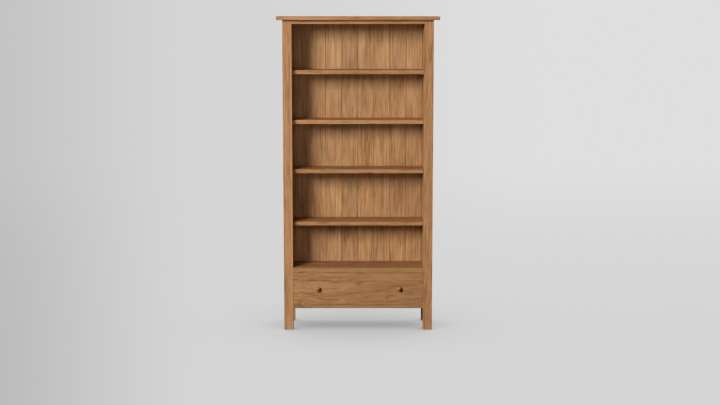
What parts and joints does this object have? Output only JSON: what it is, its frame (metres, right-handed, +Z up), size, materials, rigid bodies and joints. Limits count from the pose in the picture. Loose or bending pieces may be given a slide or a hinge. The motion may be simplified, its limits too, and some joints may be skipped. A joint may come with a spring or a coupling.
{
  "type": "bookcase with bottom drawer",
  "caption": "Tall freestanding wooden bookcase with square posts, a boarded back, loose shelves on pins above a fixed bottom shelf, and a full-width drawer with turned knobs.",
  "frame": {"origin": "on the floor, midway across the width and midway between the top board's front and back edges", "axes": "+X to the viewer's right as they face the shelves, +Y to the back, +Z up"},
  "size_m": [0.92, 0.3, 1.8],
  "materials": {
    "oak_frame": "oiled honey-brown oak, satin, grain along each piece",
    "oak_board": "oiled honey-brown oak boards, satin, with some cathedral figure",
    "oak_back": "oiled oak boards, satin, upright grain, V-grooved joints",
    "drawer_wood": "plain paler oak, sanded, unoiled",
    "steel": "nickel-plated, satin"
  },
  "bodies": {
    "case": {"top_board": "oak_board", "front_left_post": "oak_frame", "front_right_post": "oak_frame", "rear_left_post": "oak_frame", "rear_right_post": "oak_frame", "top_front_rail": "oak_frame", "drawer_top_rail": "oak_frame", "plinth_rail": "oak_frame", "top_back_rail": "oak_frame", "middle_back_rail": "oak_frame", "bottom_back_rail": "oak_frame", "left_top_side_rail": "oak_frame", "left_bottom_side_rail": "oak_frame", "right_top_side_rail": "oak_frame", "right_bottom_side_rail": "oak_frame", "left_side_panel": "oak_board", "right_side_panel": "oak_board", "back_board_1": "oak_back", "back_board_2": "oak_back", "back_board_3": "oak_back", "back_board_4": "oak_back", "back_board_5": "oak_back", "back_board_6": "oak_back", "back_board_7": "oak_back", "back_board_8": "oak_back", "bottom_shelf": "oak_board", "shelf_1_front_left_pin": "steel", "shelf_1_front_right_pin": "steel", "shelf_1_rear_left_pin": "steel", "shelf_1_rear_right_pin": "steel", "shelf_2_front_left_pin": "steel", "shelf_2_front_right_pin": "steel", "shelf_2_rear_left_pin": "steel", "shelf_2_rear_right_pin": "steel", "shelf_3_front_left_pin": "steel", "shelf_3_front_right_pin": "steel", "shelf_3_rear_left_pin": "steel", "shelf_3_rear_right_pin": "steel", "shelf_4_front_left_pin": "steel", "shelf_4_front_right_pin": "steel", "shelf_4_rear_left_pin": "steel", "shelf_4_rear_right_pin": "steel", "left_drawer_runner": "drawer_wood", "right_drawer_runner": "drawer_wood", "left_drawer_stop": "drawer_wood", "right_drawer_stop": "drawer_wood"},
    "drawer": {"drawer_front": "oak_board", "left_drawer_side": "drawer_wood", "right_drawer_side": "drawer_wood", "drawer_back": "drawer_wood", "drawer_bottom": "drawer_wood", "drawer_catch": "drawer_wood", "left_knob": "oak_frame", "right_knob": "oak_frame", "left_knob_screw": "steel", "right_knob_screw": "steel"},
    "loose_shelf_1": {"shelf_1": "oak_board"},
    "loose_shelf_2": {"shelf_2": "oak_board"},
    "loose_shelf_3": {"shelf_3": "oak_board"},
    "loose_shelf_4": {"shelf_4": "oak_board"}
  },
  "joints": [
    {"name": "drawer_slide", "type": "slide", "parent": "case", "child": "drawer", "axis": [0, -1, 0], "range_m": [0, 0.1645]},
    {"name": "shelf_1_slide", "type": "slide", "parent": "case", "child": "loose_shelf_1", "axis": [0, -1, 0], "range_m": [0, 0.035]},
    {"name": "shelf_2_slide", "type": "slide", "parent": "case", "child": "loose_shelf_2", "axis": [0, -1, 0], "range_m": [0, 0.035]},
    {"name": "shelf_3_slide", "type": "slide", "parent": "case", "child": "loose_shelf_3", "axis": [0, -1, 0], "range_m": [0, 0.035]},
    {"name": "shelf_4_slide", "type": "slide", "parent": "case", "child": "loose_shelf_4", "axis": [0, -1, 0], "range_m": [0, 0.035]}
  ]
}
